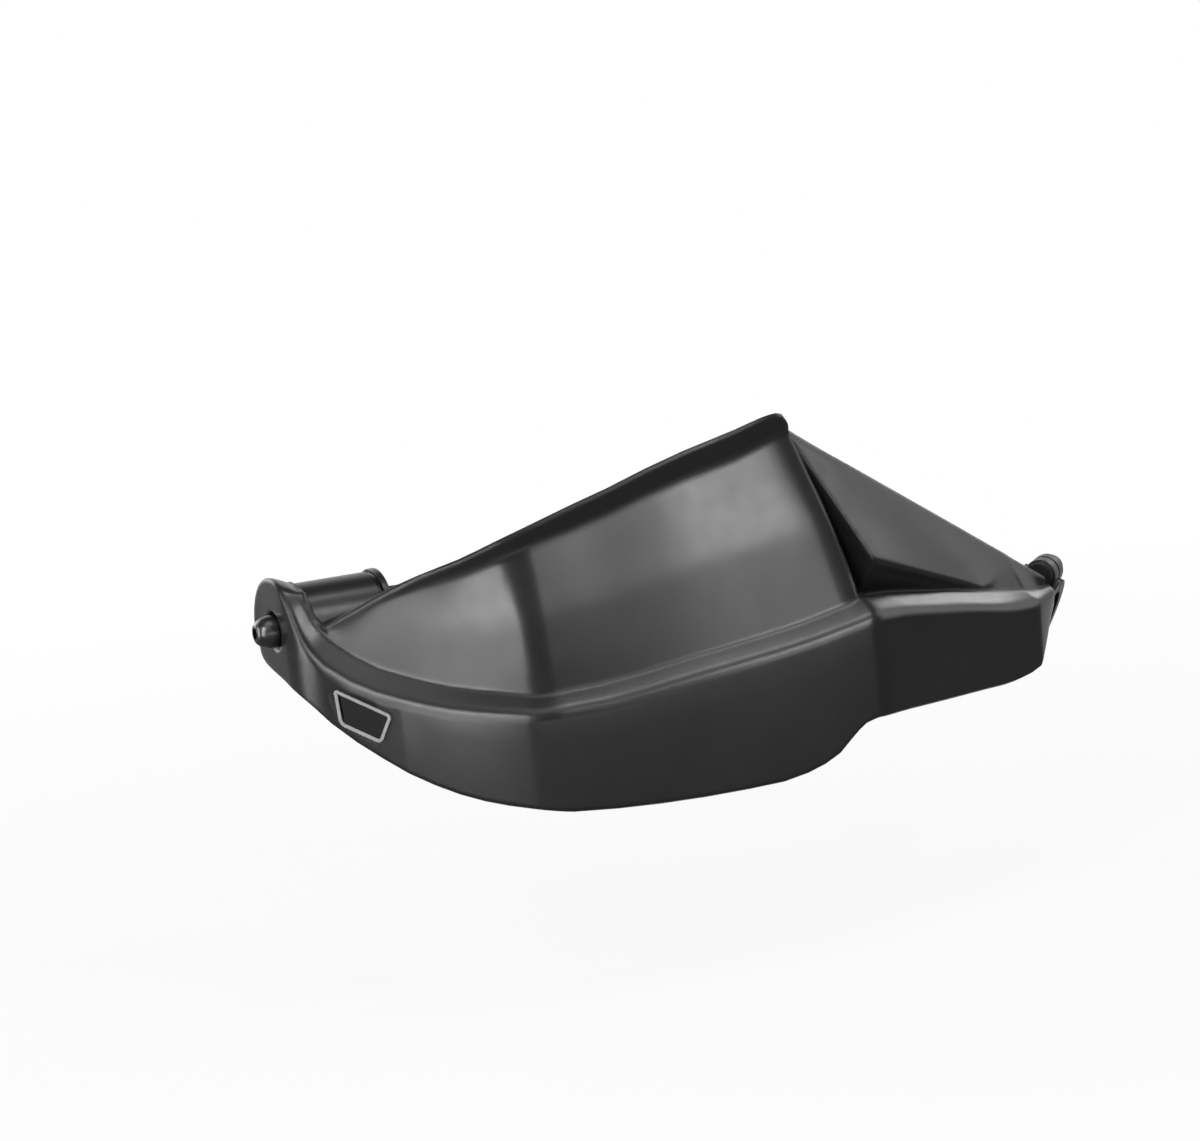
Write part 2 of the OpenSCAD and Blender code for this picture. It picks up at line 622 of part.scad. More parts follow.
module clamp_half(side) {
    difference() {
        union() {
            on_clamp() translate([0, 0, -clamp_w / 2]) cylinder(r = clamp_r, h = clamp_w);
            on_clamp() for (end = [-1, 1]) translate([end * clamp_ear_x, 0, 0]) rotate([-90 * side, 0, 0])
                turned_head(clamp_ear_r, clamp_ear_y, clamp_ear_edge, clamp_ear_edge);
            on_clamp() for (end = [-1, 1])
                translate([end * clamp_ear_x / 2, side * (clamp_ear_y - clamp_ear_edge) / 2, 0])
                cube([clamp_ear_x, clamp_ear_y - clamp_ear_edge, clamp_ear_r * 2], center = true);
            if (side < 0) {
                on_arm(lug_x, plate_back, bracket_z) cylinder(r = lug_r, h = lug_len);
                on_arm(lug_x, plate_back + lug_step, bracket_z) translate([0, lug_step - lug_r, 0])
                    cube([lug_reach * 0.75, 2 * (lug_r - lug_step), lug_len - lug_step]);
            }
        }
        on_clamp() cylinder(r = handlebar_r, h = clamp_cut, center = true);
        // Past the ring's ends the lug keeps clear of the handlebar
        on_clamp() for (end = [-1, 1]) translate([0, 0, end * (clamp_w + clamp_cut) / 2])
            cylinder(r = handlebar_r + bar_gap, h = clamp_cut, center = true);
        on_clamp() translate([0, side * (clamp_gap - clamp_cut) / 2, 0]) cube(clamp_cut, center = true);
        // The rear half has through holes with a flat seat for each washer
        if (side > 0) {
            on_clamp() for (end = [-1, 1]) translate([end * clamp_ear_x, 0, 0]) rotate([-90, 0, 0]) {
                cylinder(r = ear_bolt_r + hole_gap, h = clamp_ear_y + over);
                translate([0, 0, clamp_ear_y]) cylinder(r = clamp_washer_r + hole_gap, h = clamp_r);
            }
        }
        if (side < 0) {
            on_clamp() for (end = [-1, 1]) translate([end * clamp_ear_x, over, 0]) rotate([90, 0, 0])
                cylinder(r = ear_bolt_r + fit_gap, h = clamp_ear_y - over);
            on_arm(lug_x, plate_back - over, bracket_z)
                cylinder(r = lug_bolt_r + hole_gap, h = lug_len + 2 * over);
        }
    }
}
module clamp_front_half() { color([0.1, 0.1, 0.105]) clamp_half(-1); }
module clamp_rear_half() { color([0.1, 0.1, 0.105]) clamp_half(1); }
module clamp_washer(end) {
    color([0.5, 0.5, 0.52]) on_clamp() translate([end * clamp_ear_x, clamp_ear_y, 0]) rotate([-90, 0, 0])
        washer(clamp_washer_r, ear_bolt_r + hole_gap, washer_t);
}
module clamp_bolt(end) {
    length = 2 * clamp_ear_y - 2;
    color([0.25, 0.25, 0.26]) on_clamp() translate([end * clamp_ear_x, clamp_ear_y + washer_t, 0])
        rotate([90, 0, 0]) socket_screw(ear_bolt_r, length, small_head_r, head_h, small_hex_r);
}
lug_back = plate_back + lug_len;
lug_nut_t = 4;
lug_washer_r = 5.5;
thread_out = 0.6;
module lug_washer() {
    color([0.5, 0.5, 0.52]) on_arm(lug_x, lug_back, bracket_z)
        washer(lug_washer_r, lug_bolt_r + hole_gap, washer_t);
}
module lug_bolt() {
    length = washer_t + lug_len + plate_t + lug_nut_t + thread_out;
    color([0.25, 0.25, 0.26]) on_arm(lug_x, lug_back + washer_t, bracket_z) mirror([0, 0, 1])
        socket_screw(lug_bolt_r, length, lug_head_r, head_h, lug_hex_r);
}
module lug_nut() {
    color([0.5, 0.5, 0.52]) on_arm(lug_x, boss_top - lug_nut_t, bracket_z) difference() {
        cylinder(r = nut_r, h = lug_nut_t, $fn = 6);
        translate([0, 0, -over]) cylinder(r = lug_bolt_r + fit_gap, h = lug_nut_t + 2 * over);
    }
}

guard_shell();
badge_plate();
bar_end_bolt();
bar_end_washer();
bar_end_weight();
expander_washer();
expander_sleeve();
expander_nut();
insert(bolt_outer_x);  // insert_outer
insert(bolt_inner_x);  // insert_inner
inner_bracket();
bracket_bolt(bolt_outer_x);  // bracket_bolt_outer
bracket_bolt(bolt_inner_x);  // bracket_bolt_inner
bracket_washer(bolt_outer_x);  // bracket_washer_outer
bracket_washer(bolt_inner_x);  // bracket_washer_inner
clamp_front_half();
clamp_rear_half();
clamp_bolt(-1);  // clamp_bolt_upper
clamp_bolt(1);  // clamp_bolt_lower
clamp_washer(-1);  // clamp_washer_upper
clamp_washer(1);  // clamp_washer_lower
lug_bolt();
lug_washer();
lug_nut();
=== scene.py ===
import bpy
import math
from mathutils import Euler, Matrix, Vector


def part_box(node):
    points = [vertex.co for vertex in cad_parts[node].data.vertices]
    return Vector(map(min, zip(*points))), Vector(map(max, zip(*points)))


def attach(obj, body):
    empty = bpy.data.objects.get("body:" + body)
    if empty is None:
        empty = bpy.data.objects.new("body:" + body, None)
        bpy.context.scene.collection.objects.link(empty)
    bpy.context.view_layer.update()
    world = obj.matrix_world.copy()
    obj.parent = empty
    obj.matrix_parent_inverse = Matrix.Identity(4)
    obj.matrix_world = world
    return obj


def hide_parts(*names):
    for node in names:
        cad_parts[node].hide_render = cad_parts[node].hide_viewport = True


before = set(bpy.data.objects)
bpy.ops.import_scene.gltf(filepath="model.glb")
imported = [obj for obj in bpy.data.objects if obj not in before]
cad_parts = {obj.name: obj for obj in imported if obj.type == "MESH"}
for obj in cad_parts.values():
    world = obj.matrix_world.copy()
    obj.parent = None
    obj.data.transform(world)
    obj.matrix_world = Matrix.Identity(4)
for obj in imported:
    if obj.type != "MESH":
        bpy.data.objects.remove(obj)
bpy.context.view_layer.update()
print("frame loaded:", len(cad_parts), "nodes")

mm = 0.001
tiny = 0.001 * mm  # points nearer to each other than this have the same place
near = 0.01 * mm  # a face that is nearer to a level than this lies on it
facing = 0.9  # a face looks up or down where its normal's share along Z is over this


# selecting
def deselectAll():
    if bpy.context.mode != "OBJECT":
        bpy.ops.object.mode_set(mode="OBJECT")
    bpy.ops.object.select_all(action="DESELECT")


def makeActive(piece):
    deselectAll()
    piece.select_set(True)
    bpy.context.view_layer.objects.active = piece


def clearPicks(piece, kind):
    makeActive(piece)
    bpy.ops.object.mode_set(mode="EDIT")
    bpy.ops.mesh.select_mode(type=kind)
    bpy.ops.mesh.select_all(action="DESELECT")
    bpy.ops.object.mode_set(mode="OBJECT")


def pickFaces(piece, test):
    clearPicks(piece, "FACE")
    for face in piece.data.polygons:
        face.select = test(face)
    bpy.ops.object.mode_set(mode="EDIT")


def pickEdges(piece, test):
    clearPicks(piece, "EDGE")
    points = piece.data.vertices
    for edge in piece.data.edges:
        edge.select = test(points[edge.vertices[0]].co, points[edge.vertices[1]].co)
    bpy.ops.object.mode_set(mode="EDIT")


def looksUp(face):
    return face.normal.z > facing


def looksDown(face):
    return face.normal.z < -facing


def looksAside(face):
    return abs(face.normal.z) < 1 - facing


def isUpright(a, b):
    return abs(a.x - b.x) < tiny and abs(a.y - b.y) < tiny


def isLevel(a, b):
    return abs(a.z - b.z) < tiny


# starting a piece
copying = {
    "mergeDistance": 0.004,  # mm
    "flatAngle": 3,  # degrees; two triangles that bend less become one face
    "cornerAngle": 60,  # degrees; how far that face's corners may be from square
}


def pieceNameFor(nodeName):
    first, *others = nodeName.split("_")
    return first + "".join(word.capitalize() for word in others)


def copyNode(nodeName, values):
    piece = bpy.data.objects.new(pieceNameFor(nodeName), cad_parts[nodeName].data.copy())
    piece.data.materials.clear()
    bpy.context.collection.objects.link(piece)
    makeActive(piece)
    bpy.ops.object.mode_set(mode="EDIT")
    bpy.ops.mesh.select_all(action="SELECT")
    bpy.ops.mesh.remove_doubles(threshold=values["mergeDistance"] * mm)
    bpy.ops.mesh.tris_convert_to_quads(face_threshold=math.radians(values["flatAngle"]),
                                       shape_threshold=math.radians(values["cornerAngle"]))
    bpy.ops.object.mode_set(mode="OBJECT")
    return piece


def addCylinder(name, radius, low, high, sides):
    deselectAll()
    bpy.ops.mesh.primitive_cylinder_add(vertices=sides, radius=radius, depth=high - low,
                                        location=(0, 0, (low + high) / 2))
    piece = bpy.context.active_object
    piece.name = name
    bpy.ops.object.transform_apply(location=True, rotation=True, scale=True)
    return piece


# shaping a piece
softStrips = 2  # a soft edge has this many strips


def widen(size):
    # the picked end face changes its radius
    bpy.ops.transform.resize(value=(size, size, 1))


def stepOut(rise, size=1.0):
    # the picked end face moves on along Z and then changes its radius
    bpy.ops.mesh.extrude_region_move(TRANSFORM_OT_translate={"value": (0, 0, rise)})
    if size != 1.0:
        widen(size)


def followProfile(points, height, radius):
    # each point is a height and a radius in mm, and the first step starts from the given ones
    for newHeight, newRadius in points:
        stepOut((newHeight - height) * mm, newRadius / radius)
        height, radius = newHeight, newRadius


def softenEdges(piece, width, angle):
    makeActive(piece)
    modifier = piece.modifiers.new("softEdges", "BEVEL")
    modifier.width = width
    modifier.segments = softStrips
    modifier.limit_method = "ANGLE"
    modifier.angle_limit = math.radians(angle)
    bpy.ops.object.modifier_apply(modifier=modifier.name)


def cutSocket(piece, radius, low, high):
    cutter = addCylinder("socketCutter", radius, low, high, 6)
    makeActive(piece)
    modifier = piece.modifiers.new("socket", "BOOLEAN")
    modifier.operation = "DIFFERENCE"
    modifier.solver = "EXACT"
    modifier.object = cutter
    bpy.ops.object.modifier_apply(modifier=modifier.name)
    bpy.data.objects.remove(cutter, do_unlink=True)


# finishing a piece
def smoothFaces(piece, angle):
    makeActive(piece)
    bpy.ops.object.shade_smooth_by_angle(angle=math.radians(angle))


def evenNormals(piece):
    # large flat faces keep their own light, and the narrow ones beside them carry the bend
    makeActive(piece)
    modifier = piece.modifiers.new("evenNormals", "WEIGHTED_NORMAL")
    modifier.keep_sharp = True
    bpy.ops.object.modifier_apply(modifier=modifier.name)


def inRadians(turn):
    return Euler([math.radians(angle) for angle in turn])


def putInPlace(piece, place, turn):
    # turn is in degrees, about X, then Y, then Z
    makeActive(piece)
    piece.location = place
    piece.rotation_euler = inRadians(turn)
    bpy.ops.object.transform_apply(location=True, rotation=True, scale=True)


def finishPiece(piece, nodeName, slotName, *materials):
    for material in materials:
        piece.data.materials.append(material)
    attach(piece, "root")
    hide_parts(nodeName)


# nodes that the materials share
def newMaterial(name, values, metallic=0.0):
    material = bpy.data.materials.new(name)
    material.use_nodes = True
    tree = material.node_tree
    shader = tree.nodes["Principled BSDF"]
    # one plain colour and roughness, for what reads no nodes
    shader.inputs["Base Color"].default_value = (*values["light"], 1)
    shader.inputs["Roughness"].default_value = values["roughLow"]
    shader.inputs["Metallic"].default_value = metallic
    shader.inputs["Specular IOR Level"].default_value = values["specular"]
    place = tree.nodes.new("ShaderNodeTexCoord")
    return material, tree, shader, place.outputs["Object"]


def addNoise(tree, place, scale, detail, roughness):
    noise = tree.nodes.new("ShaderNodeTexNoise")
    noise.inputs["Scale"].default_value = scale
    noise.inputs["Detail"].default_value = detail
    noise.inputs["Roughness"].default_value = roughness
    tree.links.new(place, noise.inputs["Vector"])
    return noise.outputs["Fac"]


def addRange(tree, source, low, high, fromLow=0.3, fromHigh=0.7):
    # most of a noise lies between 0.3 and 0.7
    mapped = tree.nodes.new("ShaderNodeMapRange")
    mapped.inputs["From Min"].default_value = fromLow
    mapped.inputs["From Max"].default_value = fromHigh
    mapped.inputs["To Min"].default_value = low
    mapped.inputs["To Max"].default_value = high
    tree.links.new(source, mapped.inputs["Value"])
    return mapped.outputs["Result"]


def addTones(tree, factor, dark, light):
    tones = tree.nodes.new("ShaderNodeMix")
    tones.data_type = "RGBA"
    tones.inputs["A"].default_value = (*dark, 1)
    tones.inputs["B"].default_value = (*light, 1)
    tree.links.new(factor, tones.inputs["Factor"])
    return tones.outputs["Result"]


def addBump(tree, height, depth, strength, below=None):
    # below is the normal of the coarser relief that this one lies on
    bump = tree.nodes.new("ShaderNodeBump")
    bump.inputs["Distance"].default_value = depth
    bump.inputs["Strength"].default_value = strength
    tree.links.new(height, bump.inputs["Height"])
    if below:
        tree.links.new(below, bump.inputs["Normal"])
    return bump.outputs["Normal"]


def linkTones(tree, shader, noise, values):
    tones = addTones(tree, addRange(tree, noise, 0, 1), values["dark"], values["light"])
    tree.links.new(tones, shader.inputs["Base Color"])


def linkRoughness(tree, shader, noise, values):
    roughness = addRange(tree, noise, values["roughLow"], values["roughHigh"])
    tree.links.new(roughness, shader.inputs["Roughness"])


# the guard's moulded plastic: satin, with a fine grain
shellFinish = {
    "edge": 0.0019,  # radius of the soft light on every edge of the moulding
    "edgeSamples": 6,
    "dark": (0.0145, 0.0145, 0.0152),
    "light": (0.019, 0.019, 0.02),
    "roughLow": 0.24,
    "roughHigh": 0.27,
    "specular": 0.5,
    "cloud": (38, 4.0, 0.55),  # a noise's scale, detail and roughness
    "haze": (160, 3.0, 0.6),
    "pores": (1200, 3.0, 0.6),
    "grainScale": 1500,
    "grainDepth": 0.00006,
    "grainStrength": 0.09,
    "wavyDepth": 0.0006,
    "wavyStrength": 0.012,
}


def makeShellPlastic(values):
    material, tree, shader, place = newMaterial("shellPlastic", values)
    grain = tree.nodes.new("ShaderNodeTexVoronoi")
    grain.inputs["Scale"].default_value = values["grainScale"]
    tree.links.new(place, grain.inputs["Vector"])
    pores = addNoise(tree, place, *values["pores"])
    cloud = addNoise(tree, place, *values["cloud"])
    haze = addNoise(tree, place, *values["haze"])
    linkTones(tree, shader, cloud, values)
    linkRoughness(tree, shader, haze, values)
    rounded = tree.nodes.new("ShaderNodeBevel")
    rounded.samples = values["edgeSamples"]
    rounded.inputs["Radius"].default_value = values["edge"]
    relief = addBump(tree, cloud, values["wavyDepth"], values["wavyStrength"], rounded.outputs["Normal"])
    for height in (grain.outputs["Distance"], pores):
        relief = addBump(tree, height, values["grainDepth"], values["grainStrength"], relief)
    tree.links.new(relief, shader.inputs["Normal"])
    return material


# the other finishes: a cloudy tone, and one fine noise for the roughness and the relief
paintFinish = {
    "dark": (0.008, 0.008, 0.0085), "light": (0.012, 0.012, 0.0125), "roughLow": 0.28, "roughHigh": 0.33,
    "specular": 0.5, "cloud": (90, 4.0, 0.6), "fine": (900, 2.0, 0.5),
    "fineDepth": 0.00003, "fineStrength": 0.08,
}
rubberFinish = {
    "dark": (0.014, 0.014, 0.014), "light": (0.03, 0.03, 0.029), "roughLow": 0.55, "roughHigh": 0.75,
    "specular": 0.35, "cloud": (150, 4.0, 0.6), "fine": (1400, 3.0, 0.7),
    "fineDepth": 0.00005, "fineStrength": 0.5,
}
badgeFinish = {"cloud": (260, 4.0, 0.6), "fine": (1600, 3.0, 0.6), "fineDepth": 0.00002, "fineStrength": 0.25}
badgeFieldFinish = {
    **badgeFinish, "dark": (0.006, 0.006, 0.0065), "light": (0.01, 0.01, 0.0105),
    "roughLow": 0.4, "roughHigh": 0.5, "specular": 0.2,
}
badgeEdgeFinish = {
    **badgeFinish, "dark": (0.3, 0.3, 0.305), "light": (0.38, 0.38, 0.385),
    "roughLow": 0.34, "roughHigh": 0.46, "specular": 0.5,
}
metalFinish = {
    "specular": 0.5, "cloud": (220, 4.0, 0.6), "fine": (1200, 3.0, 0.6),
    "fineDepth": 0.00002, "fineStrength": 0.25,
}
metalTones = {
    # dark and light colour, low and high roughness
    "darkBolt": ((0.1, 0.1, 0.104), (0.15, 0.15, 0.155), 0.26, 0.36),
    "blackOxide": ((0.035, 0.035, 0.04), (0.07, 0.07, 0.075), 0.32, 0.46),
    "zincSteel": ((0.42, 0.43, 0.45), (0.6, 0.61, 0.62), 0.28, 0.4),
    "yellowZinc": ((0.5, 0.42, 0.24), (0.66, 0.58, 0.36), 0.28, 0.42),
    "insertBrass": ((0.6, 0.44, 0.2), (0.74, 0.58, 0.3), 0.26, 0.4),
    "anodised": ((0.03, 0.03, 0.032), (0.05, 0.05, 0.053), 0.36, 0.5),
}


def makeFinish(name, values, metallic=0.0):
    material, tree, shader, place = newMaterial(name, values, metallic)
    cloud = addNoise(tree, place, *values["cloud"])
    fine = addNoise(tree, place, *values["fine"])
    linkTones(tree, shader, cloud, values)
    linkRoughness(tree, shader, fine, values)
    relief = addBump(tree, fine, values["fineDepth"], values["fineStrength"])
    tree.links.new(relief, shader.inputs["Normal"])
    return material


def makeMetal(name):
    dark, light, roughLow, roughHigh = metalTones[name]
    tones = {"dark": dark, "light": light, "roughLow": roughLow, "roughHigh": roughHigh}
    return makeFinish(name, {**metalFinish, **tones}, 1.0)


shellPlastic = makeShellPlastic(shellFinish)
blackPaint = makeFinish("blackPaint", paintFinish)
blackRubber = makeFinish("blackRubber", rubberFinish)
badgeBlack = makeFinish("badgeBlack", badgeFieldFinish)
badgeEdge = makeFinish("badgeEdge", badgeEdgeFinish)
darkBolt = makeMetal("darkBolt")
blackOxide = makeMetal("blackOxide")
zincSteel = makeMetal("zincSteel")
yellowZinc = makeMetal("yellowZinc")
insertBrass = makeMetal("insertBrass")
anodised = makeMetal("anodised")
print("materials made")

# the guard's shell: its node's mesh, with the tiny faces round the bolt and the badge dissolved
shellForm = {
    "mergeDistance": 0.01,  # mm
    "slimFace": 0.02,  # mm; a face that is thinner goes
    "earEnd": -8,  # mm; the ear and the badge's seat lie at a lower x
    "flatAngle": 0.4,  # degrees; neighbours there that bend less become one face
    "smoothAngle": 28,
}


def makeShell(values):
    piece = copyNode("guard_shell", copying)
    bpy.ops.object.mode_set(mode="EDIT")
    bpy.ops.mesh.select_all(action="SELECT")
    bpy.ops.mesh.remove_doubles(threshold=values["mergeDistance"] * mm)
    bpy.ops.mesh.dissolve_degenerate(threshold=values["slimFace"] * mm)
    bpy.ops.object.mode_set(mode="OBJECT")
    pickFaces(piece, lambda face: face.center.x < values["earEnd"] * mm)
    bpy.ops.mesh.dissolve_limited(angle_limit=math.radians(values["flatAngle"]))
    bpy.ops.object.mode_set(mode="OBJECT")
    smoothFaces(piece, values["smoothAngle"])
    evenNormals(piece)
    finishPiece(piece, "guard_shell", "shell_plastic", shellPlastic)
    print("shell made:", len(piece.data.polygons), "faces")


makeShell(shellForm)

# small parts that keep the form of their node and get soft edges
keptForms = {
    # slot, material and the edge's width in mm
    "bar_end_weight": ("black_metal", blackPaint, 0.25),
    "bar_end_washer": ("dark_steel", blackOxide, 0.12),
    "expander_washer": ("zinc_steel", zincSteel, 0.15),
    "expander_nut": ("yellow_zinc", yellowZinc, 0.2),
    "insert_outer": ("insert_brass", insertBrass, 0.1),
    "insert_inner": ("insert_brass", insertBrass, 0.1),
    "inner_bracket": ("black_metal", blackPaint, 0.3),
    "bracket_washer_outer": ("zinc_steel", zincSteel, 0.12),
    "bracket_washer_inner": ("zinc_steel", zincSteel, 0.12),
    "clamp_front_half": ("black_aluminium", anodised, 0.25),
    "clamp_rear_half": ("black_aluminium", anodised, 0.25),
    "clamp_washer_upper": ("zinc_steel", zincSteel, 0.12),
    "clamp_washer_lower": ("zinc_steel", zincSteel, 0.12),
    "lug_washer": ("zinc_steel", zincSteel, 0.12),
    "lug_nut": ("zinc_steel", zincSteel, 0.25),
}
keptEdges = {"sharpAngle": 35, "smoothAngle": 40}

for nodeName, (slotName, material, edge) in keptForms.items():
    piece = copyNode(nodeName, copying)
    softenEdges(piece, edge * mm, keptEdges["sharpAngle"])
    smoothFaces(piece, keptEdges["smoothAngle"])
    evenNormals(piece)
    finishPiece(piece, nodeName, slotName, material)
print("kept forms made:", len(keptForms))

# the badge: a bare dark field inside a pale raised edge
badge = {
    "length": 21, "height": 10, "thickness": 1.2,
    "slant": 6,  # how far one lower corner is drawn in
    "proud": 0.4,  # how far the plate stands out of the band
    "corner": 1.64, "cornerSegments": 8,
    "edge": 0.8,  # width of the raised edge
    "field": 0.25,  # how deep the field lies in it
    "soft": 0.12, "sharpAngle": 60, "smoothAngle": 30,
    "place": (-22.916, -30.503, -26.6), "turn": (-90, 27, -41.5),
}


def makeBadge(values):
    # the plate is made with its outer face down, at minus proud
    low = -values["proud"] * mm
    high = low + values["thickness"] * mm
    fieldLevel = low + values["field"] * mm
    deselectAll()
    bpy.ops.mesh.primitive_cube_add(size=1, location=(0, 0, (low + high) / 2),
                                    scale=(values["length"] * mm, values["height"] * mm, high - low))
    piece = bpy.context.active_object
    piece.name = pieceNameFor("badge_plate")
    bpy.ops.object.transform_apply(location=True, rotation=True, scale=True)
    pickEdges(piece, lambda a, b: isUpright(a, b) and a.x < 0 and a.y > 0)
    bpy.ops.transform.translate(value=(values["slant"] * mm, 0, 0))
    pickEdges(piece, isUpright)
    bpy.ops.mesh.bevel(offset=values["corner"] * mm, segments=values["cornerSegments"])
    pickFaces(piece, looksDown)
    bpy.ops.mesh.inset(thickness=values["edge"] * mm)
    bpy.ops.mesh.inset(thickness=values["field"] * mm, depth=-values["field"] * mm)
    bpy.ops.object.mode_set(mode="OBJECT")
    softenEdges(piece, values["soft"] * mm, values["sharpAngle"])
    piece.data.materials.append(badgeEdge)
    piece.data.materials.append(badgeBlack)
    for face in piece.data.polygons:
        isField = looksDown(face) and abs(face.center.z - fieldLevel) < near
        face.material_index = 1 if isField else 0
    smoothFaces(piece, values["smoothAngle"])
    evenNormals(piece)
    putInPlace(piece, Vector(values["place"]) * mm, values["turn"])
    finishPiece(piece, "badge_plate", "badge_black")


makeBadge(badge)
print("badge made")

# the thread on every screw: plain rings, as shares of the pitch
thread = {
    "depth": 0.32,
    "slopeIn": 0.45, "root": 0.12, "slopeOut": 0.31, "crest": 0.12,
    "spare": 0.5,  # at least this much is left for the shank's tip
    "tip": 0.94,  # the tip's radius, as a share of the root's
}


def addShank(piece, values):
    # the head's flat underside is at zero; the shank leaves it upwards and ends in the thread
    radius, pitch = values["shankRadius"], values["pitch"]
    threaded = values["shankLength"] - values["threadFrom"]
    turns = int(threaded / pitch - thread["spare"])
    rootSize = (radius - thread["depth"] * pitch) / radius
    pickFaces(piece, lambda face: looksUp(face) and abs(face.center.z) < tiny)
    bpy.ops.mesh.inset(thickness=(values["headRadius"] - radius) * mm)
    stepOut(values["threadFrom"] * mm)
    for ring in range(turns):
        stepOut(thread["slopeIn"] * pitch * mm, rootSize)
        stepOut(thread["root"] * pitch * mm)
        stepOut(thread["slopeOut"] * pitch * mm, 1 / rootSize)
        stepOut(thread["crest"] * pitch * mm)
    halfTip = (threaded - turns * pitch) * mm / 2
    stepOut(halfTip)
    stepOut(halfTip, rootSize * thread["tip"])
    bpy.ops.object.mode_set(mode="OBJECT")


# the bar end bolt: a tall domed head with a hex socket
endBolt = {
    "headRadius": 5.25, "headStraight": 2, "sides": 48,
    "domeRise": 5.8, "domeEdge": 3,  # the dome's edge is a quarter of an ellipse, this high and this wide
    "domeAngles": (10, 20, 30, 40, 50, 60, 68, 76, 83, 90),
    "socketRadius": 2, "socketDepth": 4, "socketSpare": 1,
    "shankRadius": 3, "shankLength": 67.9, "threadFrom": 50, "pitch": 1,
    "smoothAngle": 32, "turn": (0, 90, 0),
}


def domeProfile(values):
    # the head is made upside down, so the dome goes down from the straight part
    flat = values["headRadius"] - values["domeEdge"]
    points = []
    for degrees in values["domeAngles"]:
        angle = math.radians(degrees)
        points.append((-values["domeRise"] * math.sin(angle), flat + values["domeEdge"] * math.cos(angle)))
    return points


def makeEndBolt(values):
    radius, straight = values["headRadius"], values["headStraight"]
    piece = addCylinder(pieceNameFor("bar_end_bolt"), radius * mm, -straight * mm, 0, values["sides"])
    pickFaces(piece, looksDown)
    followProfile(domeProfile(values), 0, radius)
    bpy.ops.object.mode_set(mode="OBJECT")
    addShank(piece, values)
    top = -straight - values["domeRise"]
    cutSocket(piece, values["socketRadius"] * mm, (top - values["socketSpare"]) * mm,
              (top + values["socketDepth"]) * mm)
    smoothFaces(piece, values["smoothAngle"])
    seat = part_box("bar_end_washer")[0][0]
    putInPlace(piece, (seat, 0, 0), values["turn"])
    finishPiece(piece, "bar_end_bolt", "bolt_steel", darkBolt)


makeEndBolt(endBolt)
print("bar end bolt made")

# socket screws with knurled heads: each size is modelled once and copied
screwHead = {
    "sides": 40,
    "rim": 0.6, "rimSegments": 3,  # the rounded outer rim
    "groove": 0.12,  # depth of the grooves round the side, and the margin beside them
    "socketDepth": 0.55,  # share of the head's height
    "socketSpare": 1, "smoothAngle": 32,
}
screwPlan = [
    # sizes in mm; turn is in degrees about X, Y and Z
    {"pattern": "bracketBolt", "nodes": ("bracket_bolt_outer", "bracket_bolt_inner"), "turn": (90, 0, 29),
     "headRadius": 4.2, "headHeight": 4, "socketRadius": 2.2, "shankRadius": 2.5, "shankLength": 10.4,
     "threadFrom": 5, "pitch": 0.8},
    {"pattern": "clampBolt", "nodes": ("clamp_bolt_upper", "clamp_bolt_lower"), "turn": (90, 117, -41),
     "headRadius": 4.2, "headHeight": 4, "socketRadius": 2.2, "shankRadius": 2.5, "shankLength": 14,
     "threadFrom": 9, "pitch": 0.8},
    {"pattern": "lugBolt", "nodes": ("lug_bolt",), "turn": (90, 0, 29),
     "headRadius": 5, "headHeight": 4, "socketRadius": 2.6, "shankRadius": 3, "shankLength": 17.6,
     "threadFrom": 12, "pitch": 1},
]
washerThickness = 1 * mm


def makeScrew(values, head):
    top = -values["headHeight"] * mm
    piece = addCylinder(values["pattern"], values["headRadius"] * mm, top, 0, head["sides"])
    pickEdges(piece, lambda a, b: isLevel(a, b) and abs(a.z - top) < near)
    bpy.ops.mesh.bevel(offset=head["rim"] * mm, segments=head["rimSegments"])
    pickFaces(piece, looksAside)
    bpy.ops.mesh.inset(thickness=head["groove"] * mm, depth=-head["groove"] * mm, use_individual=True)
    bpy.ops.object.mode_set(mode="OBJECT")
    addShank(piece, values)
    socketFloor = top * (1 - head["socketDepth"])
    cutSocket(piece, values["socketRadius"] * mm, top - head["socketSpare"] * mm, socketFloor)
    smoothFaces(piece, head["smoothAngle"])
    return piece


def copyPiece(piece, name):
    # the pattern still has its own name, so the lug bolt's copy is called lugBolt.001
    twin = piece.copy()
    twin.data = piece.data.copy()
    twin.name = name
    bpy.context.collection.objects.link(twin)
    return twin


def seatOn(washerName, turn):
    # the middle of the washer's outer face; a screw points along its own Z
    low, high = (Vector(corner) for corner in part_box(washerName))
    along = inRadians(turn).to_matrix() @ Vector((0, 0, 1))
    return (low + high) / 2 - along * washerThickness / 2


for values in screwPlan:
    pattern = makeScrew(values, screwHead)
    for nodeName in values["nodes"]:
        screw = copyPiece(pattern, pieceNameFor(nodeName))
        putInPlace(screw, seatOn(nodeName.replace("bolt", "washer"), values["turn"]), values["turn"])
        finishPiece(screw, nodeName, "dark_steel", blackOxide)
    bpy.data.objects.remove(pattern, do_unlink=True)
print("screws made")

# the expander sleeve: ribbed rubber over a bore that opens to the nut's cone
sleeve = {
    "length": 22, "radius": 8.2, "sides": 64,
    "ease": 0.4,  # the slant of both outer edges
    "ribs": 5, "grooveWidth": 1.1, "grooveDepth": 0.5,
    "grooveFloor": 0.55,  # share of the groove's width
    "bore": 3.3, "coneLength": 6, "coneSmall": 4.6, "coneBig": 6.8,
    "smoothAngle": 40, "turn": (0, 90, 0),
}


